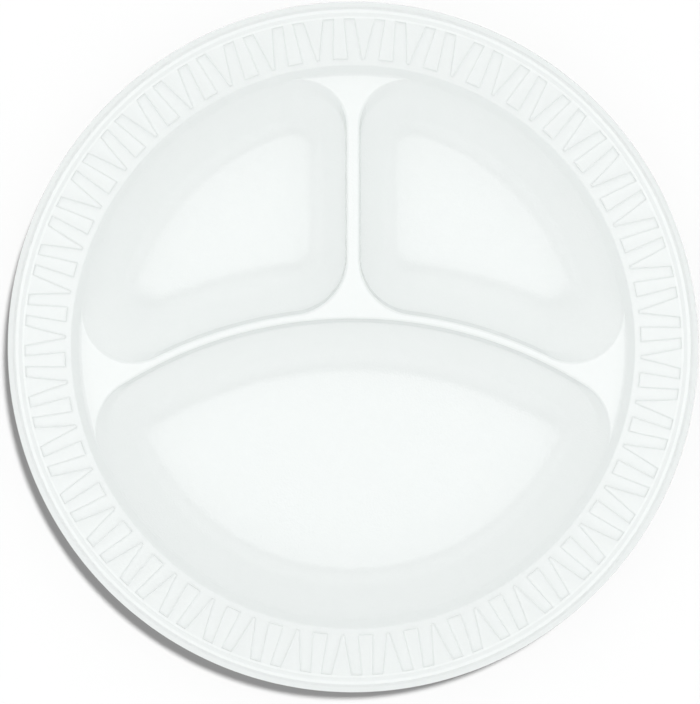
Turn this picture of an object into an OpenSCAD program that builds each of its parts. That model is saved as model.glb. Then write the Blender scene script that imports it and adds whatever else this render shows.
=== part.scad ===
// Three compartment plate, thermoformed from one sheet of expanded foam.
// Millimetres, +Z up. The plate stands on the flat floors of its three pockets, which lie on
// z = 0, and the plate's axis is the Z axis. +Y points from the large pocket to the two small ones.

/* [Plate] */
// Diameter over the turned down lip
plate_d = 228.6; // [205:0.1:265]
// Thickness of the formed sheet
foam_t = 2.0; // [1.5:0.1:2.4]
// Height of the rib tops above the table
rib_h = 13.5; // [11.5:0.1:17]

/* [Rim] */
// Height of the flange's inner corner above the rib tops
step_h = 3.7; // [3:0.1:6]
// Width of the steep wall between the rib tops and the flange
step_w = 3.0; // [2:0.1:4]
// Slope of the flange, rising outwards, in degrees
flange_slope = 8.5; // [4:0.5:14]
// Width of the plain ring inside the flutes
inner_ring_w = 2.0; // [1.6:0.1:4]
// Width of the level ring between the flutes and the crest
outer_ring_w = 0.9; // [0.6:0.1:3]
// Height of the crest above that level ring
crest_h = 0.7; // [0.4:0.1:1.2]
// Width of the rise from the level ring to the crest
crest_rise_w = 1.1; // [0.8:0.1:2]
// Width of the crest over its flat top
crest_w = 0.8; // [0.7:0.1:2]
// Height of the steep drop outside the crest
crest_drop_h = 1.1; // [0.8:0.1:1.4]
// Width of that steep drop
crest_drop_w = 0.5; // [0.3:0.1:0.8]
// Radius along the outer edge of the crest
crest_r = 0.3; // [0.2:0.05:0.4]
// Width of the sloping lip outside the drop
lip_w = 2.5; // [2:0.1:5]
// Height that the sloping lip falls to its edge
lip_fall = 1.6; // [1:0.1:2.5]
// Thickness of the sheet where it is pinched at the cut edge
lip_t = 1.3; // [1:0.1:1.6]
// Radius of the corner where the steep wall meets the flange
step_r = 0.7; // [0.3:0.1:1]

/* [Flutes] */
// Number of repeats of the flute pattern round the rim
flute_count = 40; // [30:1:48]
// Length of the flutes along the flange
flute_len = 13.1; // [9:0.1:15]
// Depth of the step between the two levels of the pattern
flute_step = 0.4; // [0.2:0.05:0.6]
// Half width of the wedge at the rim side, as a share of one repeat
wedge_out = 0.195; // [0.15:0.005:0.22]
// Half width of the wedge at the pocket side, as a share of one repeat
wedge_in = 0.03; // [0.02:0.005:0.08]
// Half width of the tongue at the rim side, as a share of one repeat
tongue_out = 0.1; // [0.06:0.005:0.14]
// Half width of the tongue at the pocket side, as a share of one repeat
tongue_in = 0.16; // [0.12:0.005:0.2]
// Turn of the whole pattern about the plate's axis, in degrees
flute_turn = 7; // [0:0.5:12]

/* [Ribs] */
// Width of the straight rib over its steep sides
rib_w = 4.6; // [3.6:0.1:7]
// Width of the curved rib over its steep sides
arc_rib_w = 3.9; // [3.4:0.1:7]
// Radius of the curved rib along its middle
arc_rib_r = 141.4; // [120:0.1:180]
// Distance of the curved rib's highest point from the plate's axis
arc_rib_crown = 10.3; // [4:0.1:16]
// Radius along the top edges of the ribs
edge_r = 0.8; // [0.5:0.1:1.1]

/* [Pockets] */
// How far the pockets reach into the foot of the steep wall
pocket_reach = 0.4; // [0.3:0.1:1]
// Height of the steep strip below the rib edges
strip_h = 1.4; // [0.8:0.1:2]
// Width of that steep strip
strip_w = 0.35; // [0.2:0.05:0.6]
// Slope of the pocket walls beside the straight rib, in degrees
wall_slope = 42; // [38:1:52]
// Radius between the walls and the floor
foot_r = 12; // [8:0.5:13]
// Distance from the curved rib's side to the flat floor
arc_wall_run = 18; // [15:0.5:19]
// Distance from the bowl's side to the flat floor
bowl_wall_run = 18; // [15:0.5:19]
// Corner radius where the straight rib meets the bowl
top_corner_r = 18.3; // [16.5:0.1:21]
// Corner radius where the straight rib meets the curved rib
mid_corner_r = 20.2; // [17:0.1:23]
// Corner radius of the small pockets where the curved rib meets the bowl
side_corner_r = 16.6; // [15.5:0.1:20]
// Corner radius of the large pocket
large_corner_r = 17.5; // [16:0.1:22]
// Corner radius at the level of the floor
floor_corner_r = 4.5; // [3:0.1:7]

/* [Hidden] */

foam_colour = [0.96, 0.975, 0.97];

// Smoothness of the rim and of the pockets
rim_steps = 120;
corner_steps = 5;
bowl_steps = 8;
arc_steps = 5;
foot_steps = 3;
edge_steps = 3;

// Radii of the rim's rings, from the lip inwards
plate_r = plate_d / 2;
drop_foot_at = plate_r - lip_w;
crest_out_at = drop_foot_at - crest_drop_w;
crest_in_at = crest_out_at - crest_w;
ring_out_at = crest_in_at - crest_rise_w;
flute_out_r = ring_out_at - outer_ring_w;
flute_in_r = flute_out_r - flute_len;
flange_r = flute_in_r - inner_ring_w;
shelf_r = flange_r - step_w;
bowl_r = shelf_r + pocket_reach;

// Heights
flange_z = rib_h + step_h;
ring_z = flange_height(flute_out_r);
crest_z = ring_z + crest_h;
drop_foot_z = crest_z - crest_drop_h;
air = 2;

// Middle of the curved rib's circle, and the half widths of the ribs
arc_centre = [0, arc_rib_crown - arc_rib_r];
arc_half = arc_rib_w / 2;
rib_half = rib_w / 2;

// Height of the flange's upper level at a distance from the axis
function flange_height(r) = flange_z + (r - flange_r) * tan(flange_slope);

// A point on a circle, the direction of a point, and even steps between two values
function on_circle(c, r, a) = c + r * [cos(a), sin(a)];
function direction(p) = atan2(p.y, p.x);
function steps(a, b, n) = [for (i = [0:n]) a + (b - a) * i / n];
function inner_steps(a, b, n) = [for (i = [1:n]) a + (b - a) * i / (n + 1)];
function arc_points(c, r, angles) = [for (a = angles) on_circle(c, r, a)];
function unit(v) = v / norm(v);

// Corner b of the path a, b, c, rounded to radius r with n chords
function rounded(a, b, c, r, n) =
    let(u = unit(a - b), v = unit(c - b), half = acos(u * v) / 2,
        m = b + unit(u + v) * r / sin(half), p = b + u * r / tan(half) - m,
        q = b + v * r / tan(half) - m, start = direction(p),
        sweep = (direction(q) - start + 540) % 360 - 180)
    [for (i = [0:n]) m + r * [cos(start + sweep * i / n), sin(start + sweep * i / n)]];

// A path moved sideways by t to its right, with mitred corners
function side_of(a, b) = let(u = unit(b - a)) [u.y, -u.x];
function shifted(path, t) =
    let(last = len(path) - 1)
    [for (i = [0:last])
        let(n1 = side_of(path[max(i - 1, 0)], path[max(i, 1)]),
            n2 = side_of(path[min(i, last - 1)], path[min(i + 1, last)]))
        path[i] + t * (n1 + n2) / (1 + n1 * n2)];

// Corners of the sheet's upper surface before the pockets are formed, from the axis to the lip
line_axis = [0, rib_h];
line_shelf = [shelf_r, rib_h];
line_flange = [flange_r, flange_z];
line_ring = [flute_out_r, ring_z];
line_rise = [ring_out_at, ring_z];
line_crest_in = [crest_in_at, crest_z];
line_crest_out = [crest_out_at, crest_z];
line_drop = [drop_foot_at, drop_foot_z];
line_lip = [plate_r, drop_foot_z - lip_fall];

// Underside of the sheet: it runs straight on under the crest, which only its upper skin shows
under_crest = (line_crest_out + line_drop) / 2;
under_sheet = shifted([line_axis, line_shelf, line_flange, line_ring, under_crest, line_lip], foam_t);

// Section of that sheet: soft corners where a hand or an eye meets them, mitred corners below
module sheet_section() {
    polygon(concat(
        [line_axis, line_shelf],
        rounded(line_shelf, line_flange, line_ring, step_r, 1),
        [line_ring, line_rise, line_crest_in],
        rounded(line_crest_in, line_crest_out, line_drop, crest_r, 1),
        [line_drop, line_lip, line_lip + lip_t * unit(under_sheet[5] - line_lip)],
        [for (i = [4:-1:0]) under_sheet[i]]
    ));
}

// Wall of a pocket, from the rib's edge down to the floor, as [inset, height]
strip_top = [0, rib_h - edge_r];
strip_foot = strip_top + [strip_w, -strip_h];
wall_foot = [strip_w + (strip_foot.y - foam_t) / tan(wall_slope), foam_t];
wall_run = wall_foot.x + foot_r * tan(wall_slope / 2);
wall_line = concat(
    [strip_top, strip_foot],
    rounded(strip_foot, wall_foot, [wall_run + 1, foam_t], foot_r, foot_steps)
);

// Rounded top edge of the ribs, carried on a little above them so that it cuts clean
edge_line = arc_points([-edge_r, rib_h - edge_r], edge_r, steps(90, 0, edge_steps));
edge_lead = edge_line[0] + (edge_line[0] - edge_line[1]) / 2;

// On the bowl's side there is no steep strip: the steep wall of the rim runs on down to its foot
function bowl_lean(p) =
    (1 - p.x / wall_run) * min(rib_h - p.y, rib_h - strip_foot.y) * step_w / step_h;

// One level of a pocket: [height, share of the wall's run, shift of ribs, shift of bowl]
void_levels = concat(
    [[rib_h + air, 0, edge_lead.x, 0], [edge_lead.y, 0, edge_lead.x, 0]],
    [for (i = [0:edge_steps - 1])
        [edge_line[i].y, 0, edge_line[i].x, bowl_lean([0, edge_line[i].y])]],
    [for (p = wall_line) [p.y, p.x / wall_run, 0, bowl_lean(p)]]
);
under_line = shifted(concat(wall_line, [[wall_run + 1, foam_t]]), foam_t);
shell_levels = concat(
    [[rib_h - foam_t / 2, 0, -foam_t, -foam_t]],
    [for (i = [0:len(wall_line) - 1])
        let(p = wall_line[i], shift = under_line[i].x - p.x)
        [under_line[i].y, p.x / wall_run, shift, shift + bowl_lean(p)]]
);

// Where circles of radius a about the plate's axis and b about the curved rib's middle cross
function crossing(a, b) =
    let(d = -arc_centre.y, y = (b * b - a * a - d * d) / (2 * d)) [sqrt(a * a - y * y), y];
// Corner radius at one level, between its value at the rib's edge and at the floor
function corner_at(top_r, level) =
    top_r + (floor_corner_r - top_r) * level[1] - min(level[2], 0) * 0.5;

// Outline of the right hand small pocket at one level, clockwise
function small_outline(level) =
    let(rib = rib_half + level[2] + wall_run * level[1],
        arc = arc_rib_r + arc_half + level[2] + arc_wall_run * level[1],
        bowl = bowl_r - level[3] - bowl_wall_run * level[1],
        r1 = corner_at(top_corner_r, level),
        r2 = corner_at(side_corner_r, level),
        r3 = corner_at(mid_corner_r, level),
        c1 = [rib + r1, sqrt(pow(bowl - r1, 2) - pow(rib + r1, 2))],
        c2 = crossing(bowl - r2, arc + r2),
        c3 = [rib + r3, arc_centre.y + sqrt(pow(arc + r3, 2) - pow(rib + r3, 2))],
        to2 = direction(c2 - arc_centre), to3 = direction(c3 - arc_centre))
    concat(
        arc_points(c1, r1, steps(180, direction(c1), corner_steps)),
        arc_points([0, 0], bowl, inner_steps(direction(c1), direction(c2), bowl_steps)),
        arc_points(c2, r2, steps(direction(c2), to2 - 180, corner_steps)),
        arc_points(arc_centre, arc, inner_steps(to2, to3, arc_steps)),
        arc_points(c3, r3, steps(to3 - 180, -180, corner_steps))
    );

// Outline of the large pocket at one level, clockwise
function large_outline(level) =
    let(arc = arc_rib_r - arc_half - level[2] - arc_wall_run * level[1],
        bowl = bowl_r - level[3] - bowl_wall_run * level[1],
        r = corner_at(large_corner_r, level),
        right = crossing(bowl - r, arc - r), left = [-right.x, right.y],
        to_arc = direction(right - arc_centre), to_bowl = direction(right))
    concat(
        arc_points(right, r, steps(to_arc, to_bowl, corner_steps)),
        arc_points([0, 0], bowl, inner_steps(to_bowl, -180 - to_bowl, 2 * bowl_steps)),
        arc_points(left, r, steps(-180 - to_bowl, -180 - to_arc, corner_steps)),
        arc_points(arc_centre, arc, inner_steps(180 - to_arc, to_arc, 2 * arc_steps))
    );

// A closed solid through outlines of equal length, from the highest down to the lowest
module loft(levels, outlines) {
    n = len(outlines[0]);
    last = len(outlines) - 1;
    function middle(k) = let(s = [for (i = [0:n - 1]) 1] * outlines[k] / n) [s.x, s.y, levels[k][0]];
    points = concat(
        [for (k = [0:last]) for (p = outlines[k]) [p.x, p.y, levels[k][0]]],
        [middle(0), middle(last)]
    );
    sides = [for (k = [0:last - 1]) for (i = [0:n - 1])
        let(a = k * n + i, b = k * n + (i + 1) % n, c = a + n, d = b + n)
        each [[a, b, c], [b, d, c]]];
    caps = [for (i = [0:n - 1]) let(j = (i + 1) % n)
        each [[(last + 1) * n, j, i], [(last + 1) * n + 1, last * n + i, last * n + j]]];
    polyhedron(points, [for (f = concat(sides, caps)) [f[0], f[2], f[1]]]);
}

// The three pockets at the levels given: the two small ones are mirror images
module pockets(levels) {
    loft(levels, [for (l = levels) large_outline(l)]);
    loft(levels, [for (l = levels) small_outline(l)]);
    mirror([1, 0, 0]) loft(levels, [for (l = levels) small_outline(l)]);
}

// Plan of the lower level of the flute pattern: a disc with pairs of leaning teeth round it, so
// that a narrow wedge and a wider tongue stay up between them in each repeat
module flute_plan() {
    pitch = 360 / flute_count;
    root_r = flute_in_r - inner_ring_w / 2;
    circle(r = flute_in_r, $fn = rim_steps);
    for (i = [0:flute_count - 1], side = [-1, 1])
        rotate(flute_turn + i * pitch)
            polygon([for (p = [
                [root_r, wedge_in], [flute_out_r, wedge_out],
                [flute_out_r, 0.5 - tongue_out], [root_r, 0.5 - tongue_in]
            ]) on_circle([0, 0], p[0], side * p[1] * pitch)]);
}

// Layer above the flange that the pattern presses down
module flute_layer() {
    low = shifted([line_flange, line_ring], flute_step);
    rise = low[1] - low[0];
    start = low[0] - rise * step_w / rise.x;
    end = low[1] + rise * outer_ring_w / rise.x;
    rotate_extrude($fn = rim_steps)
        polygon([start, end, end + [0, air], start + [0, step_h + air]]);
}

module plate() {
    color(foam_colour)
        difference() {
            union() {
                rotate_extrude($fn = rim_steps) sheet_section();
                pockets(shell_levels);
            }
            pockets(void_levels);
            intersection() {
                flute_layer();
                linear_extrude(height = crest_z + air) flute_plan();
            }
        }
}

plate();
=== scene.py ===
# %% [markdown]
# # A foam plate with three compartments
# The real plate is one sheet of expanded foam about 2 mm thick, pressed warm between two moulds.
# It has a large pocket, two small ones, ribs between them, and a flange with a fluted pattern.
# This lesson rebuilds it as one closed mesh, gives it the skin of pressed foam, and lights it softly.
# The first lines load the plate's solid model, which is the frame that everything is set to.

# %% Load the frame
import math

import bmesh
import bpy
import numpy as np
from mathutils.geometry import delaunay_2d_cdt
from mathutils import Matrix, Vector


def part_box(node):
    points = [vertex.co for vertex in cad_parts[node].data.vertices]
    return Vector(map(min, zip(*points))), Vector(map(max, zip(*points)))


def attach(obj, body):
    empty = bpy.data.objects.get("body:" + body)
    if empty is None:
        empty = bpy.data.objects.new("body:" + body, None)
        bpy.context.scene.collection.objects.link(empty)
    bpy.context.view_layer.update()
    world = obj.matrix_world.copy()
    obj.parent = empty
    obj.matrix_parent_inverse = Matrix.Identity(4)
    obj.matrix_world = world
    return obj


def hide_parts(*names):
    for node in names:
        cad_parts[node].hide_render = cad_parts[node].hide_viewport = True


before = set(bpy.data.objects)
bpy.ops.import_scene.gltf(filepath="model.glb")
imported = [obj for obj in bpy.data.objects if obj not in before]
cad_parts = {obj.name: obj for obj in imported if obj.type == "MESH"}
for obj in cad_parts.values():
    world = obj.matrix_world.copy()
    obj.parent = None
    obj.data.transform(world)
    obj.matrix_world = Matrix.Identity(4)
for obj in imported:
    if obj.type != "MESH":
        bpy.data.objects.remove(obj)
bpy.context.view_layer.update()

plate_low, plate_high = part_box("plate")
print("solid plate, mm:", [round(1000 * v, 2) for v in plate_high - plate_low])

# %% [markdown]
# ## The sizes of the section
# A pressed plate is read best from its section: pockets, ribs, a steep wall, a sloping flange and a
# lip that turns down. Those few sizes drive all the rest. The diameter and the overall height come
# from the frame. Lengths are in millimetres until the mesh is made.

# %% Sizes of the section
plate_r = 500 * (plate_high.x - plate_low.x)
crest_z = 1000 * plate_high.z
foam_t = 2.0
rib_h = 13.5
step_h = 3.7
wall_w = 2.8
flange_slope = math.radians(8.5)
flute_step = 0.55
crest_h = 0.5
crest_drop_h = 1.15
lip_fall = 0.9
lip_t = 1.3

lip_w = 1.75
crest_drop_w = 0.95
crest_w = 1.1
crest_rise_w = 1.1
outer_ring_w = 0.9
flute_len = 13.1
inner_ring_w = 2.0

drop_foot_r = plate_r - lip_w
crest_out_r = drop_foot_r - crest_drop_w
crest_in_r = crest_out_r - crest_w
ring_out_r = crest_in_r - crest_rise_w
flute_out_r = ring_out_r - outer_ring_w
flute_in_r = flute_out_r - flute_len
flange_r = flute_in_r - inner_ring_w
ring_z = crest_z - crest_h
drop_foot_z = crest_z - crest_drop_h
print("radii, mm: flange %.1f, flutes %.1f to %.1f, lip %.1f"
      % (flange_r, flute_in_r, flute_out_r, plate_r))

# %% [markdown]
# ## Helpers for a section line
# Pressed foam has no sharp edges. A modifier could bevel them, but a bevel can't tell a mould's tight
# edge from a soft one. Here each corner of the section line is rounded with its own radius, and the
# underside is the same line moved sideways by the thickness of the sheet.

# %% Helpers for a section line
def unit(v):
    return v / np.linalg.norm(v)


def rounded(a, b, c, radius, chords):
    """Corner b of the path a, b, c as an arc."""
    a, b, c = np.array(a, float), np.array(b, float), np.array(c, float)
    u = unit(a - b)
    v = unit(c - b)
    half = math.acos(max(-1.0, min(1.0, float(u @ v)))) / 2
    middle = b + unit(u + v) * radius / math.sin(half)
    p = b + u * radius / math.tan(half) - middle
    q = b + v * radius / math.tan(half) - middle
    start = math.atan2(p[1], p[0])
    sweep = (math.atan2(q[1], q[0]) - start + 3 * math.pi) % (2 * math.pi) - math.pi
    angles = start + sweep * np.linspace(0, 1, chords + 1)
    return [middle + radius * np.array([math.cos(t), math.sin(t)]) for t in angles]


def shifted(path, distance):
    """A path moved to its right, with mitred corners."""
    path = [np.array(p, float) for p in path]
    last = len(path) - 1

    def side(i, j):
        u = unit(path[j] - path[i])
        return np.array([u[1], -u[0]])

    moved = []
    for i in range(last + 1):
        n1 = side(max(i - 1, 0), max(i, 1))
        n2 = side(min(i, last - 1), min(i + 1, last))
        moved.append(path[i] + distance * (n1 + n2) / (1 + n1 @ n2))
    return moved


def soft_path(path, corners):
    """A path with its inner corners rounded: a radius and a number of chords for each."""
    out = [np.array(path[0], float)]
    for i, (radius, chords) in enumerate(corners):
        out += rounded(path[i], path[i + 1], path[i + 2], radius, chords)
    return out + [np.array(path[-1], float)]


right_angle = rounded((0, 1), (0, 0), (1, 0), 0.5, 4)
print("a rounded right angle starts at", np.round(right_angle[0], 2), "and ends at",
      np.round(right_angle[-1], 2))

# %% [markdown]
# ## The columns of the rim
# Each repeat of the pattern has a narrow wedge and a wider tongue that stay up, with leaning teeth
# pressed down between them. A bump texture would show no real steps, so the steps are in the mesh.
# The rim is a grid of rings and columns, and the columns lean with the sides of the teeth: four of
# them lie close together at every side, so that each step is steep but has soft edges.

# %% Columns of the rim
flute_count = 40
pitch = 2 * math.pi / flute_count
flute_turn = math.radians(7)
wedge_in, wedge_out = 0.03, 0.195
tongue_in, tongue_out = 0.16, 0.1
soft_w = 0.72
end_w = 0.38
soft_stops = np.array([-0.5, -0.17, 0.17, 0.5])


def smooth(t):
    t = np.clip(t, 0, 1)
    return t * t * (3 - 2 * t)


def column_angles(r):
    """Angles of all the columns where they cross a ring of radius r."""
    r = min(max(r, flute_in_r), flute_out_r)
    along = (r - flute_in_r) / flute_len
    wedge = wedge_in + (wedge_out - wedge_in) * along
    tongue = 0.5 - (tongue_in + (tongue_out - tongue_in) * along)
    stops = soft_stops * soft_w / (pitch * r)
    half = np.concatenate([wedge + stops, [(wedge + tongue) / 2], tongue + stops])
    shares = np.concatenate([[0], half, [0.5], 1 - half[::-1]])
    repeats = np.arange(flute_count)[:, None]
    return ((repeats + shares[None, :]) * pitch + flute_turn).ravel()


side_levels = smooth(smooth(0.5 - soft_stops))
half_levels = np.concatenate([side_levels, [0], side_levels[::-1]])
high = np.tile(np.concatenate([[1], half_levels, [1], half_levels[::-1]]), flute_count)
columns = len(high)
print("columns round the rim:", columns)


# %% [markdown]
# ## The rings of the upper side
# From the pockets outwards the section climbs the steep wall, crosses the flange with its flutes,
# rises to a small crest, drops, and ends in a sloping lip with a rounded cut edge. Each ring is a
# radius and a height, and the flutes lower part of the ring where the teeth are.

# %% Rings of the upper side
def flange_height(r):
    return ring_z + (r - flute_out_r) * math.tan(flange_slope)


def flute_share(r):
    """How far the pattern's high parts, and then all of the ring, stand up at radius r."""
    inner = smooth((r - flute_in_r) / end_w + 0.5)
    outer = smooth((r - flute_out_r) / end_w + 0.5)
    return inner * high + outer * (1 - high)


def flute_rings(drop, count):
    """Rings across the fluted band: radius and the height of every column."""
    radii = np.concatenate([
        flute_in_r + soft_stops * end_w,
        np.linspace(flute_in_r + soft_w, flute_out_r - soft_w, count),
        flute_out_r + soft_stops * end_w,
    ])
    return [(r, flange_height(r) - drop * (1 - flute_share(r))) for r in radii]


low_drop = flute_step / math.cos(flange_slope)
wall_rise = step_h / wall_w
low_flange_z = flange_height(flange_r) - low_drop
flange_corner = np.array([flange_r, low_flange_z])
shelf_r = flange_r - (low_flange_z - rib_h) / wall_rise
shelf_foot = np.array([shelf_r, rib_h])
flute_start = np.array([flute_in_r - soft_w, flange_height(flute_in_r - soft_w) - low_drop])

upper_flute_rings = 7
flange_bend_r = 0.9
lip_slope = math.atan2(lip_fall, lip_w)
edge_r = 0.45
edge_gain = edge_r * (math.cos(lip_slope) + math.sin(lip_slope) - 1)
lip_corner = np.array([plate_r + edge_gain, drop_foot_z - lip_fall])
cut_corner = lip_corner - lip_t * np.array([math.sin(lip_slope), math.cos(lip_slope)])

rim_section = [
    [flute_out_r + end_w, ring_z], [ring_out_r, ring_z], [crest_in_r, crest_z],
    [crest_out_r, crest_z], [drop_foot_r, drop_foot_z], lip_corner, cut_corner,
]
rim_bends = [(0.3, 2), (0.25, 2), (0.2, 3), (0.35, 2), (edge_r, 4)]
outer_line = soft_path(rim_section, rim_bends)[:-1]

wall_line_up = soft_path([shelf_foot, flange_corner, flute_start], [(flange_bend_r, 5)])
top_rings = [(p[0], p[1]) for p in wall_line_up]
top_rings += flute_rings(low_drop, upper_flute_rings)
top_rings += [(p[0], p[1]) for p in outer_line[1:]]
print("rings of the upper side:", len(top_rings))

# %% [markdown]
# ## The rings of the underside
# Below, the sheet shows the same section moved by its thickness, with the flutes pressed through
# more faintly. The solidify modifier could make this skin, but it would carry the sharp steps
# through and cross itself in the narrow groove under each rib. So the underside has its own rings.

# %% Rings of the underside
under_drop = 0.22
under_flute_rings = 6
high_corner = [flange_r, flange_height(flange_r)]
under_crest = [(crest_out_r + drop_foot_r) / 2, (crest_z + drop_foot_z) / 2]
under = shifted(
    [[0, rib_h], shelf_foot, high_corner, [flute_out_r, ring_z], under_crest, lip_corner], foam_t
)
under_shelf = under[1]
under_ring = under[3]
under_rise = math.tan(flange_slope)


def under_height(r):
    return under_ring[1] + (r - under_ring[0]) * under_rise


under_start = under[2][0] + 0.6
under_end = flute_out_r - 0.5
flute_stops = np.linspace(under_start, under_end, under_flute_rings)
under_inner = soft_path([under_shelf, under[2], [under_start, under_height(under_start)]],
                        [(0.8, 3)])[:-1]
under_outer = soft_path([[under_end, under_height(under_end)], under[3], under[4],
                         cut_corner, lip_corner], [(0.8, 2), (1.6, 3), (edge_r, 3)])[1:-1]
under_rings = [(p[0], p[1]) for p in under_inner]
for r in flute_stops:
    share = flute_share(r)
    under_rings.append((r, under_height(r) - under_drop * (1 - share) * (r < flute_out_r)))
under_rings += [(p[0], p[1]) for p in under_outer]
print("rings of the underside:", len(under_rings))

# %% [markdown]
# ## The walls of the pockets
# Beside a rib the wall has a rounded top edge, a short steep strip, a long slope and a wide foot.
# Towards the rim it runs on from the steep wall above. A level is one height on that wall, with the
# share of the wall's run there and the small shifts of the straight rib, the curved rib and the bowl.

# %% Levels of the walls
rib_edge_r = 0.8
strip_h = 2.6
strip_w = 0.5
straight_strip_gain = -0.3
arc_strip_gain = 0.6
bowl_rise = 1.0
wall_slope = math.radians(38.5)
foot_r = 12
floor_z = foam_t
arc_wall_run = 18
bowl_floor_r = 72.8

strip_top = np.array([0, rib_h - rib_edge_r])
strip_foot = strip_top + [strip_w, -strip_h]
wall_foot = np.array([strip_w + (strip_foot[1] - floor_z) / math.tan(wall_slope), floor_z])
wall_run = wall_foot[0] + foot_r * math.tan(wall_slope / 2)
bowl_run = shelf_r - bowl_floor_r
floor_lead = np.array([wall_run + 1, floor_z])

wall_line = [strip_top]
wall_line += rounded(strip_top, strip_foot, wall_foot, 1.2, 3)
foot = rounded(strip_foot, wall_foot, floor_lead, foot_r, 10)
wall_line += [wall_line[-1] + (foot[0] - wall_line[-1]) * t for t in (0.25, 0.5, 0.75)]
wall_line += foot


def bowl_lean(x, z):
    """How far the steep wall of the rim has run inwards at a point of the pocket's wall."""
    return (1 - x / wall_run) * min(rib_h - z, rib_h - strip_foot[1]) / bowl_rise


def strip_part(z):
    """How much of the steep strip lies above a height."""
    return min(max((strip_top[1] - z) / strip_h, 0), 1)


top_levels = []
for t in np.linspace(90, 0, 7)[:-1]:
    x = rib_edge_r * (math.cos(math.radians(t)) - 1)
    z = rib_h + rib_edge_r * (math.sin(math.radians(t)) - 1)
    top_levels.append((z, 0, x, x, bowl_lean(0, z)))
for x, z in wall_line:
    part = strip_part(z)
    top_levels.append((z, x / wall_run, part * straight_strip_gain, part * arc_strip_gain,
                       bowl_lean(x, z)))

# %% [markdown]
# Below the ribs the sheet leaves only a narrow groove, because two walls of foam stand side by
# side there. The levels of the underside are the wall's line moved by the thickness, and they
# never close the groove completely, as the mould can't either.

# %% Levels of the underside
rib_half = 2.2
arc_rib_half = 1.4
groove_half = 0.3
straight_limit = groove_half - rib_half
arc_limit = groove_half - arc_rib_half
under_z = under_shelf[1]
under_wall = shifted(wall_line + [floor_lead], foam_t)

strip_x = np.interp(-under_z, [-under_wall[0][1], -under_wall[1][1]],
                    [under_wall[0][0], under_wall[1][0]])
under_levels = [(under_z, 0, max(strip_x, straight_limit), max(strip_x, arc_limit),
                 shelf_r - under_shelf[0])]
for (x, z), moved in zip(wall_line, under_wall):
    if moved[1] > under_z - 0.3:
        continue
    shift = moved[0] - x
    if under_levels[-1][0] - moved[1] < 0.25 and moved[1] > 0.01:
        continue
    part = strip_part(z)
    under_levels.append((moved[1], x / wall_run,
                         max(shift + part * straight_strip_gain, straight_limit),
                         max(shift + part * arc_strip_gain, arc_limit), shift + bowl_lean(x, z)))
print("levels of the walls:", len(top_levels), "above,", len(under_levels), "below")

# %% [markdown]
# ## The outlines of the pockets
# Each pocket is bounded by the round bowl, a rib and soft corners. The corners get tighter towards
# the floor. An outline lists the bowl's part first, where the points must meet the rim's columns,
# and then the rest. Lofting such outlines gives clean rows of quads, which a boolean would not.

# %% Outlines of the pockets
arc_rib_r = 146
arc_rib_crown = 10.75
arc_centre = np.array([0, arc_rib_crown - arc_rib_r])
top_corner_r, side_corner_r, mid_corner_r, large_corner_r = 15.3, 16.7, 18.8, 17.3
floor_corner_r = 4.5
corner_steps, straight_steps, arc_steps = 14, 20, 22


def on_circle(centre, radius, angles):
    return centre + radius * np.stack([np.cos(angles), np.sin(angles)], axis=1)


def direction(p):
    return math.atan2(p[1], p[0])


def crossing(a, b):
    """Where circles of radius a about the axis and b about the curved rib's middle cross."""
    d = -arc_centre[1]
    y = (b * b - a * a - d * d) / (2 * d)
    return np.array([math.sqrt(a * a - y * y), y])


def corner_at(top_radius, level):
    return top_radius + (floor_corner_r - top_radius) * level[1] - min(level[2], 0) * 0.5


def small_corners(level):
    """Corner centres and radii of the right hand small pocket."""
    rib = rib_half + level[2] + wall_run * level[1]
    arc = arc_rib_r + arc_rib_half + level[3] + arc_wall_run * level[1]
    bowl = shelf_r - level[4] - bowl_run * level[1]
    r1, r2, r3 = [corner_at(r, level) for r in (top_corner_r, side_corner_r, mid_corner_r)]
    c1 = np.array([rib + r1, math.sqrt((bowl - r1) ** 2 - (rib + r1) ** 2)])
    c2 = crossing(bowl - r2, arc + r2)
    c3 = np.array([rib + r3, arc_centre[1] + math.sqrt((arc + r3) ** 2 - (rib + r3) ** 2)])
    return rib, arc, bowl, (c1, r1), (c2, r2), (c3, r3)


def small_ends(level):
    corners = small_corners(level)
    return direction(corners[3][0]), direction(corners[4][0])


def small_outline(level, shares):
    """Clockwise from the bowl's end at the straight rib: the bowl's part and the rest."""
    rib, arc, bowl, (c1, r1), (c2, r2), (c3, r3) = small_corners(level)
    a1, a2 = direction(c1), direction(c2)
    to2, to3 = direction(c2 - arc_centre), direction(c3 - arc_centre)
    axis = np.zeros(2)
    bowl_part = on_circle(axis, bowl, a1 + (a2 - a1) * shares)
    corner2 = on_circle(c2, r2, np.linspace(a2, to2 - math.pi, corner_steps + 1))[1:]
    arc_part = on_circle(arc_centre, arc, np.linspace(to2, to3, arc_steps + 2))[1:-1]
    corner3 = on_circle(c3, r3, np.linspace(to3 - math.pi, -math.pi, corner_steps + 1))
    corner1 = on_circle(c1, r1, np.linspace(math.pi, a1, corner_steps + 1))
    straight = np.linspace(corner3[-1], corner1[0], straight_steps + 2)[1:-1]
    return bowl_part, np.concatenate([corner2, arc_part, corner3, straight, corner1[:-1]])


def large_corners(level):
    arc = arc_rib_r - arc_rib_half - level[3] - arc_wall_run * level[1]
    bowl = shelf_r - level[4] - bowl_run * level[1]
    r = corner_at(large_corner_r, level)
    return arc, bowl, r, crossing(bowl - r, arc - r)


def large_ends(level):
    to_bowl = direction(large_corners(level)[3])
    return to_bowl, -math.pi - to_bowl


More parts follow.
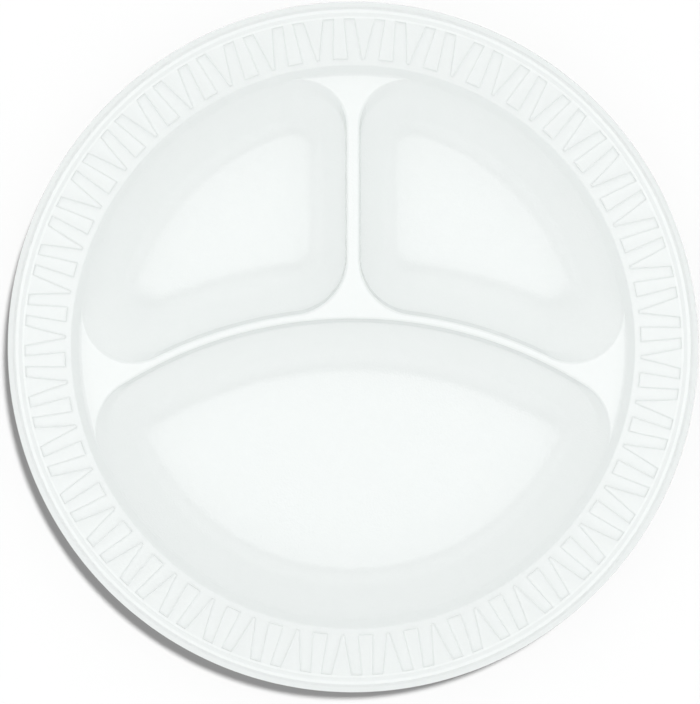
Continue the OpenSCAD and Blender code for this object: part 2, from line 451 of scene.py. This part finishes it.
def large_outline(level, shares):
    """Clockwise from the bowl's right hand end: the bowl's part and the rest."""
    arc, bowl, r, right = large_corners(level)
    left = right * [-1, 1]
    to_arc, to_bowl = direction(right - arc_centre), direction(right)
    end = -math.pi - to_bowl
    bowl_part = on_circle(np.zeros(2), bowl, to_bowl + (end - to_bowl) * shares)
    left_part = on_circle(left, r, np.linspace(end, -math.pi - to_arc, corner_steps + 1))[1:]
    arc_part = on_circle(arc_centre, arc,
                         np.linspace(math.pi - to_arc, to_arc, 2 * arc_steps + 2))[1:-1]
    right_part = on_circle(right, r, np.linspace(to_arc, to_bowl, corner_steps + 1))[:-1]
    return bowl_part, np.concatenate([left_part, arc_part, right_part])


# %% [markdown]
# ## Weaving one skin
# A skin is one side of the plate: the rim's grid, three lofted pockets, their floors, and the flat
# tops of the ribs with the flares at their ends. Neighbours share their points, so no seam can open.
# The flat parts have uneven borders, and a constrained triangulation fills them with even triangles.

# %% Points, rows and flat parts
points = []
faces = []
row_share = 0.866
border_clear = 0.55
dish_run = 9


def add_points(flat, z):
    """Adds points given in plan, at one height or a height each, and returns their numbers."""
    start = len(points)
    heights = np.broadcast_to(z, len(flat))
    points.extend((float(x), float(y), float(h)) for (x, y), h in zip(flat, heights))
    return list(range(start, len(points)))


def weave(row, other, closed=True):
    """Quads between two rows with the same number of points."""
    n = len(row)
    for i in range(n if closed else n - 1):
        j = (i + 1) % n
        faces.append((row[i], row[j], other[j], other[i]))


def inside(border, spots):
    """Which spots lie inside a closed border, and how far each is from it."""
    a = border[None, :, :]
    b = np.roll(border, -1, axis=0)[None, :, :]
    p = spots[:, None, :]
    crosses = (a[..., 1] > p[..., 1]) != (b[..., 1] > p[..., 1])
    run = (b - a)[..., 1]
    at = a[..., 0] + (p[..., 1] - a[..., 1]) * (b - a)[..., 0] / np.where(run == 0, 1, run)
    odd = (crosses & (p[..., 0] < at)).sum(axis=1) % 2 == 1
    along = np.clip(((p - a) * (b - a)).sum(-1) / ((b - a) ** 2).sum(-1), 0, 1)
    gap = np.linalg.norm(p - a - along[..., None] * (b - a), axis=-1).min(axis=1)
    return odd, gap


def fill(loop, spacing, dish):
    """Fills a closed loop of points. The middle lies lower by up to the dish."""
    border = np.array([points[i][:2] for i in loop])
    z = points[loop[0]][2]
    low, top = border.min(axis=0), border.max(axis=0)
    grid_x, grid_y = np.meshgrid(np.arange(low[0], top[0], spacing),
                                 np.arange(low[1], top[1], spacing * row_share))
    grid_x = grid_x + (np.arange(len(grid_x)) % 2)[:, None] * spacing / 2
    spots = np.stack([grid_x.ravel(), grid_y.ravel()], axis=1)
    odd, gap = inside(border, spots)
    keep = odd & (gap > border_clear * spacing)
    spots = spots[keep]
    numbers = loop + add_points(spots, z - dish * smooth(gap[keep] / dish_run))
    plan = [tuple(map(float, p)) for p in np.concatenate([border, spots])]
    made = delaunay_2d_cdt(plan, [], [list(range(len(loop)))], 1, 1e-5)
    origin = [numbers[o[0]] for o in made[3]]
    faces.extend(tuple(origin[i] for i in f) for f in made[2])


print("flat parts: rows of points %.3f of their spacing apart" % row_share)

# %% [markdown]
# Beside a flare the steep wall doesn't meet the flat foam in a crease, but in a small fillet, which
# fades out towards the flare's tips. There the wall of the rim becomes the wall of the bowl. The
# first rows of the rim therefore blend between a straight wall and a fillet, column by column.

# %% Foot of the steep wall
fillet_r = 1.6
fillet_rows = 4
tip_clear, tip_fade = 3, 7
wall_up = unit(flange_corner - shelf_foot)
fillet_reach = fillet_r * math.tan(math.atan(wall_rise) / 2)
fillet_line = rounded(shelf_foot - [5, 0], shelf_foot, shelf_foot + 5 * wall_up,
                      fillet_r, fillet_rows)


def foot_rings(share):
    """First rings of the upper side, with each column's share of the fillet."""
    made = []
    for k, bend in enumerate(fillet_line):
        straight = shelf_foot + wall_up * fillet_reach * k / fillet_rows
        made.append([straight[i] + (bend[i] - straight[i]) * share for i in (0, 1)])
    return made


print("fillet at the foot of the wall reaches %.2f mm" % fillet_reach)

# %% [markdown]
# One function weaves a whole side, because the upper side and the underside differ only in their
# rings and levels. It starts at the foot of the rim, moves the columns nearest to the ends of the
# pockets onto them, climbs to the edge, lofts the pockets down, and fills the flat parts last.

# %% One skin
def ring_points(r, angles):
    return np.stack([r * np.cos(angles), r * np.sin(angles)], axis=1)


def nearest(angles, wanted):
    gap = (angles - wanted + math.pi) % (2 * math.pi) - math.pi
    return int(np.argmin(np.abs(gap)))


def run(first, last):
    """Numbers of the columns from one to another, clockwise."""
    return [(first - k) % columns for k in range((first - last) % columns + 1)]


def skin(rings, levels, spacing, dish, fillet):
    """Weaves one side of the plate and returns its outermost row."""
    foot_radius = rings[0][0]
    angles = column_angles(foot_radius).copy()
    small_a, small_b = small_ends(levels[0])
    large_a, large_b = large_ends(levels[0])
    wanted = [(small_a, small_b), (large_a, large_b), (math.pi - small_b, math.pi - small_a)]
    ends = []
    for pair in wanted:
        found = [nearest(angles, a) for a in pair]
        for index, a in zip(found, pair):
            angles[index] += (a - angles[index] + math.pi) % (2 * math.pi) - math.pi
        ends.append(found)
    if fillet:
        share = np.zeros(columns)
        for k in range(3):
            base = run(ends[k][1], ends[(k + 1) % 3][0])
            turn = np.abs(np.unwrap(angles[base]) - angles[base[0]])
            clear = np.minimum(turn, turn[-1] - turn) * foot_radius
            share[base] = smooth((clear - tip_clear) / tip_fade)
        foot = foot_rings(share)
        shelf = add_points(ring_points(foot[0][0], angles), foot[0][1])
        rings = foot + rings[1:]
    else:
        shelf = add_points(ring_points(foot_radius, angles), rings[0][1])

    row = shelf
    for r, z in rings[1:]:
        new = add_points(ring_points(r, column_angles(float(np.mean(r)))), z)
        weave(row, new)
        row = new

    border = []
    for k, (outline, mirrored) in enumerate(
            [(small_outline, False), (large_outline, False), (small_outline, True)]):
        span = run(*ends[k])
        turn = np.unwrap(angles[span])
        shares = (turn - turn[0]) / (turn[-1] - turn[0])
        if mirrored:
            shares = 1 - shares[::-1]
        rows = []
        for number, level in enumerate(levels):
            bowl_part, rest = outline(level, shares)
            if mirrored:
                bowl_part = bowl_part[::-1] * [-1, 1]
                rest = rest[::-1] * [-1, 1]
            if number == 0:
                rest_row = add_points(rest, level[0])
                rows.append([shelf[i] for i in span] + rest_row)
                border += [shelf[ends[k][0]]] + rest_row[::-1]
            else:
                rows.append(add_points(np.concatenate([bowl_part, rest]), level[0]))
        for upper, lower in zip(rows, rows[1:]):
            weave(upper, lower)
        fill(rows[-1], spacing * 3, 0.0)
        base = run(ends[k][1], ends[(k + 1) % 3][0])
        border += [shelf[i] for i in base[:-1]]
    fill(border, spacing, dish)
    return row


# %% [markdown]
# ## The plate
# The upper skin and the underside meet in the rounded cut edge, which closes the mesh. All faces
# are smooth, because the real edges are soft and their shapes are already in the grid. Plain smooth
# shading would let every small step tilt the flat parts beside it, so the gloss on them would go.
# Weighted normals let the large flat faces keep their own direction.

# %% The plate
top_edge = skin(top_rings, top_levels, 1.0, 0.12, True)
under_edge = skin(under_rings, under_levels, 2.0, 0.0, False)
weave(top_edge, under_edge)

mesh = bpy.data.meshes.new("foam_plate")
mesh.from_pydata([(x / 1000, y / 1000, z / 1000) for x, y, z in points], [], faces)
sheet = bmesh.new()
sheet.from_mesh(mesh)
bmesh.ops.recalc_face_normals(sheet, faces=sheet.faces)
open_edges = sum(1 for e in sheet.edges if len(e.link_faces) != 2)
volume = sheet.calc_volume() * 1e9
sheet.to_mesh(mesh)
sheet.free()
mesh.polygons.foreach_set("use_smooth", [True] * len(mesh.polygons))
plate = bpy.data.objects.new("foam_plate", mesh)
bpy.context.scene.collection.objects.link(plate)
even = plate.modifiers.new("even_normals", "WEIGHTED_NORMAL")
even.mode = "FACE_AREA"
even.keep_sharp = False
triangles = sum(len(f.vertices) - 2 for f in mesh.polygons)
print("plate: %d triangles, %d open edges, %.1f cm3" % (triangles, open_edges, volume / 1000))

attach(plate, "root")
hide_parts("plate")

# %% [markdown]
# ## The skin of pressed foam
# The sheet is white plastic foam whose outer cells have melted into a thin satin film. Flattened
# cells under a millimetre across show faintly through it, the film is slightly uneven, and light
# goes a little way into the foam. A photograph of foam could be wrapped on, but procedural cells
# have the right size everywhere and no seams. Steep faces get painted shade, a darker base colour,
# and level faces high on the plate, such as the rib tops, get a painted highlight, a brighter one.

# %% Foam film
foam = bpy.data.materials.new("foam_film")
foam.use_nodes = True
nodes = foam.node_tree.nodes
links = foam.node_tree.links
shader = nodes["Principled BSDF"]
place = nodes.new("ShaderNodeTexCoord")


def texture(kind, scale, **settings):
    """A texture of the plate's own space, with its scale per metre."""
    node = nodes.new(kind)
    for name, value in settings.items():
        node.inputs[name].default_value = value
    node.inputs["Scale"].default_value = scale
    links.new(place.outputs["Object"], node.inputs["Vector"])
    return node


cells_per_metre = 1500
cells = texture("ShaderNodeTexVoronoi", cells_per_metre, Randomness=1.0)
grain = texture("ShaderNodeTexNoise", 2600, Detail=3.0)
swell = texture("ShaderNodeTexNoise", 55, Detail=2.0)
patches = texture("ShaderNodeTexNoise", 160, Detail=4.0)

tint = nodes.new("ShaderNodeMix")
tint.data_type = "RGBA"
tint.inputs["A"].default_value = (0.892, 0.93, 0.918, 1)
tint.inputs["B"].default_value = (0.905, 0.94, 0.93, 1)
links.new(patches.outputs["Fac"], tint.inputs["Factor"])

# Painted shade: faces tilted more than about 53 degrees get a darker base colour, down to 0.88 of the
# tint on near-vertical faces.
painted_wall_shade = 0.88
painted_top_highlight = 1.025
level_limit = 0.997
raised_limit = 0.012
facing = nodes.new("ShaderNodeNewGeometry")
upright = nodes.new("ShaderNodeSeparateXYZ")
links.new(facing.outputs["True Normal"], upright.inputs["Vector"])
flatness = nodes.new("ShaderNodeMath")
flatness.operation = "ABSOLUTE"
links.new(upright.outputs["Z"], flatness.inputs[0])
# Painted shade by slope: maps how level a face is to a darkening of its base colour.
shade_by_slope = nodes.new("ShaderNodeMapRange")
shade_by_slope.inputs["From Min"].default_value = 0.3
shade_by_slope.inputs["From Max"].default_value = 0.6
shade_by_slope.inputs["To Min"].default_value = painted_wall_shade
shade_by_slope.inputs["To Max"].default_value = 1.0
links.new(flatness.outputs["Value"], shade_by_slope.inputs["Value"])
shaded_tint = nodes.new("ShaderNodeVectorMath")
shaded_tint.operation = "SCALE"
links.new(tint.outputs["Result"], shaded_tint.inputs["Vector"])
links.new(shade_by_slope.outputs["Result"], shaded_tint.inputs["Scale"])

# Painted highlight: faces that lie level and more than 12 mm up, such as the rib tops, get a base
# colour 2.5 percent brighter.
level_part = nodes.new("ShaderNodeMath")
level_part.operation = "GREATER_THAN"
level_part.inputs[1].default_value = level_limit
links.new(flatness.outputs["Value"], level_part.inputs[0])
height = nodes.new("ShaderNodeSeparateXYZ")
links.new(place.outputs["Object"], height.inputs["Vector"])
raised = nodes.new("ShaderNodeMath")
raised.operation = "GREATER_THAN"
raised.inputs[1].default_value = raised_limit
links.new(height.outputs["Z"], raised.inputs[0])
highlight_mask = nodes.new("ShaderNodeMath")
highlight_mask.operation = "MULTIPLY"
links.new(level_part.outputs["Value"], highlight_mask.inputs[0])
links.new(raised.outputs["Value"], highlight_mask.inputs[1])
highlight_gain = nodes.new("ShaderNodeMapRange")
highlight_gain.inputs["To Min"].default_value = 1.0
highlight_gain.inputs["To Max"].default_value = painted_top_highlight
links.new(highlight_mask.outputs["Value"], highlight_gain.inputs["Value"])
# The tint with both the painted shade and the painted highlight goes to the base colour.
lit_and_shaded_tint = nodes.new("ShaderNodeVectorMath")
lit_and_shaded_tint.operation = "SCALE"
links.new(shaded_tint.outputs["Vector"], lit_and_shaded_tint.inputs["Vector"])
links.new(highlight_gain.outputs["Result"], lit_and_shaded_tint.inputs["Scale"])
links.new(lit_and_shaded_tint.outputs["Vector"], shader.inputs["Base Color"])

satin = nodes.new("ShaderNodeMapRange")
satin.inputs["To Min"].default_value = 0.2
satin.inputs["To Max"].default_value = 0.28
links.new(grain.outputs["Fac"], satin.inputs["Value"])
links.new(satin.outputs["Result"], shader.inputs["Roughness"])

swell_depth = 0.0006
cell_depth = 0.00015
swell_bump = nodes.new("ShaderNodeBump")
swell_bump.inputs["Strength"].default_value = 0.25
swell_bump.inputs["Distance"].default_value = swell_depth
links.new(swell.outputs["Fac"], swell_bump.inputs["Height"])
cell_bump = nodes.new("ShaderNodeBump")
cell_bump.inputs["Strength"].default_value = 0.2
cell_bump.inputs["Distance"].default_value = cell_depth
links.new(cells.outputs["Distance"], cell_bump.inputs["Height"])
links.new(swell_bump.outputs["Normal"], cell_bump.inputs["Normal"])
links.new(cell_bump.outputs["Normal"], shader.inputs["Normal"])

shader.inputs["Subsurface Weight"].default_value = 0.15
shader.inputs["Subsurface Radius"].default_value = (1.0, 1.0, 1.0)
shader.inputs["Subsurface Scale"].default_value = 0.0015
shader.inputs["IOR"].default_value = 1.59
mesh.materials.append(foam)
print("foam film: cells of about %.2f mm" % (1000 / cells_per_metre))

# %% [markdown]
# ## The paper
# The plate lies on white paper. The paper is a flat sheet just below the plate. It adds a little
# light of its own for the camera only, so it stays white, still keeps the plate's shadow, and throws
# no light up at the underside.

# %% Floor
floor_mesh = bpy.data.meshes.new("paper")
floor_half = 3.0
floor_level = -0.00003
floor_mesh.from_pydata(
    [(x * floor_half, y * floor_half, floor_level) for x, y in ((-1, -1), (1, -1), (1, 1), (-1, 1))],
    [], [(0, 1, 2, 3)])
floor = bpy.data.objects.new("paper", floor_mesh)
bpy.context.scene.collection.objects.link(floor)

paper = bpy.data.materials.new("white_paper")
paper.use_nodes = True
paper_nodes = paper.node_tree.nodes
paper_links = paper.node_tree.links
paper_shader = paper_nodes["Principled BSDF"]
paper_grey = 0.12
paper_glow = 0.2
paper_shader.inputs["Base Color"].default_value = (paper_grey, paper_grey, paper_grey, 1)
paper_shader.inputs["Roughness"].default_value = 0.9
paper_shader.inputs["Specular IOR Level"].default_value = 0.0
paper_shader.inputs["Emission Color"].default_value = (1, 1, 1, 1)
ray = paper_nodes.new("ShaderNodeLightPath")
lift = paper_nodes.new("ShaderNodeMath")
lift.operation = "MULTIPLY"
lift.inputs[1].default_value = paper_glow
paper_links.new(ray.outputs["Is Camera Ray"], lift.inputs[0])
paper_links.new(lift.outputs["Value"], paper_shader.inputs["Emission Strength"])
floor_mesh.materials.append(paper)
print("paper: %.0f m square" % (2 * floor_half))

# %% [markdown]
# ## The lamps
# The photograph has soft light from above with no hard shadow on the plate. A bright dome could give
# it, but the sides of the flutes would vanish. So the sky has its own brightness at each height, and
# a long lamp overhead lights the two sides of the rim a little differently from its top and bottom.
# The thin shadow on the paper comes from a lamp that lights only the paper.

# %% Lamps
sky_strength = 1.5
world = bpy.data.worlds.new("studio")
bpy.context.scene.world = world
world.use_nodes = True
sky_nodes = world.node_tree.nodes
sky_links = world.node_tree.links
sky_nodes["Background"].inputs["Strength"].default_value = sky_strength
sky_place = sky_nodes.new("ShaderNodeTexCoord")
sky_split = sky_nodes.new("ShaderNodeSeparateXYZ")
sky_ramp = sky_nodes.new("ShaderNodeValToRGB")
sky_stops = [(0.0, 0.1), (0.2, 0.5), (0.45, 0.79), (0.84, 0.64), (0.95, 0.14)]
while len(sky_ramp.color_ramp.elements) < len(sky_stops):
    sky_ramp.color_ramp.elements.new(0.5)
for element, (position, level) in zip(sky_ramp.color_ramp.elements, sky_stops):
    element.position = position
    element.color = (level, level, level, 1)
sky_links.new(sky_place.outputs["Generated"], sky_split.inputs["Vector"])
sky_links.new(sky_split.outputs["Z"], sky_ramp.inputs["Fac"])
sky_links.new(sky_ramp.outputs["Color"], sky_nodes["Background"].inputs["Color"])

key_tilt = math.radians(15)
key_side = math.radians(51)
paper_key_data = bpy.data.lights.new("paper_key", "SUN")
paper_key_data.energy = 18.6
paper_key_data.angle = math.radians(6)
paper_key = bpy.data.objects.new("paper_key", paper_key_data)
paper_key.rotation_euler = (0, key_tilt, key_side)
bpy.context.scene.collection.objects.link(paper_key)
paper_only = bpy.data.collections.new("paper_only")
paper_only.objects.link(floor)
paper_key.light_linking.receiver_collection = paper_only

strip_data = bpy.data.lights.new("overhead_strip", "AREA")
strip_data.shape = "RECTANGLE"
strip_data.size = 3.2
strip_data.size_y = 1.1
strip_data.energy = 22.8
strip = bpy.data.objects.new("overhead_strip", strip_data)
strip.location = (0, 0, 4.0)
strip.visible_camera = False
bpy.context.scene.collection.objects.link(strip)
print("overhead lamp %.1f by %.1f m" % (strip_data.size, strip_data.size_y))

# %% [markdown]
# ## The camera
# The photograph looks straight down. A long lens high above the plate keeps the walls of the rim
# equally wide all round, as they are there, and a wide lens would have shown the outer side of none.

# %% Camera
view_w = 0.2330
camera_data = bpy.data.cameras.new("camera")
camera_data.sensor_width = 36
camera_data.lens = 200
aim_x, aim_y, aim_height = -0.001, -0.00165, 0.018
eye_height = aim_height + view_w * camera_data.lens / camera_data.sensor_width
camera = bpy.data.objects.new("camera", camera_data)
camera.location = (aim_x, aim_y, eye_height)
camera_data.clip_end = 20
bpy.context.scene.collection.objects.link(camera)
bpy.context.scene.camera = camera
bpy.context.scene.view_settings.view_transform = "Standard"
print("camera %.2f m above the table" % eye_height)
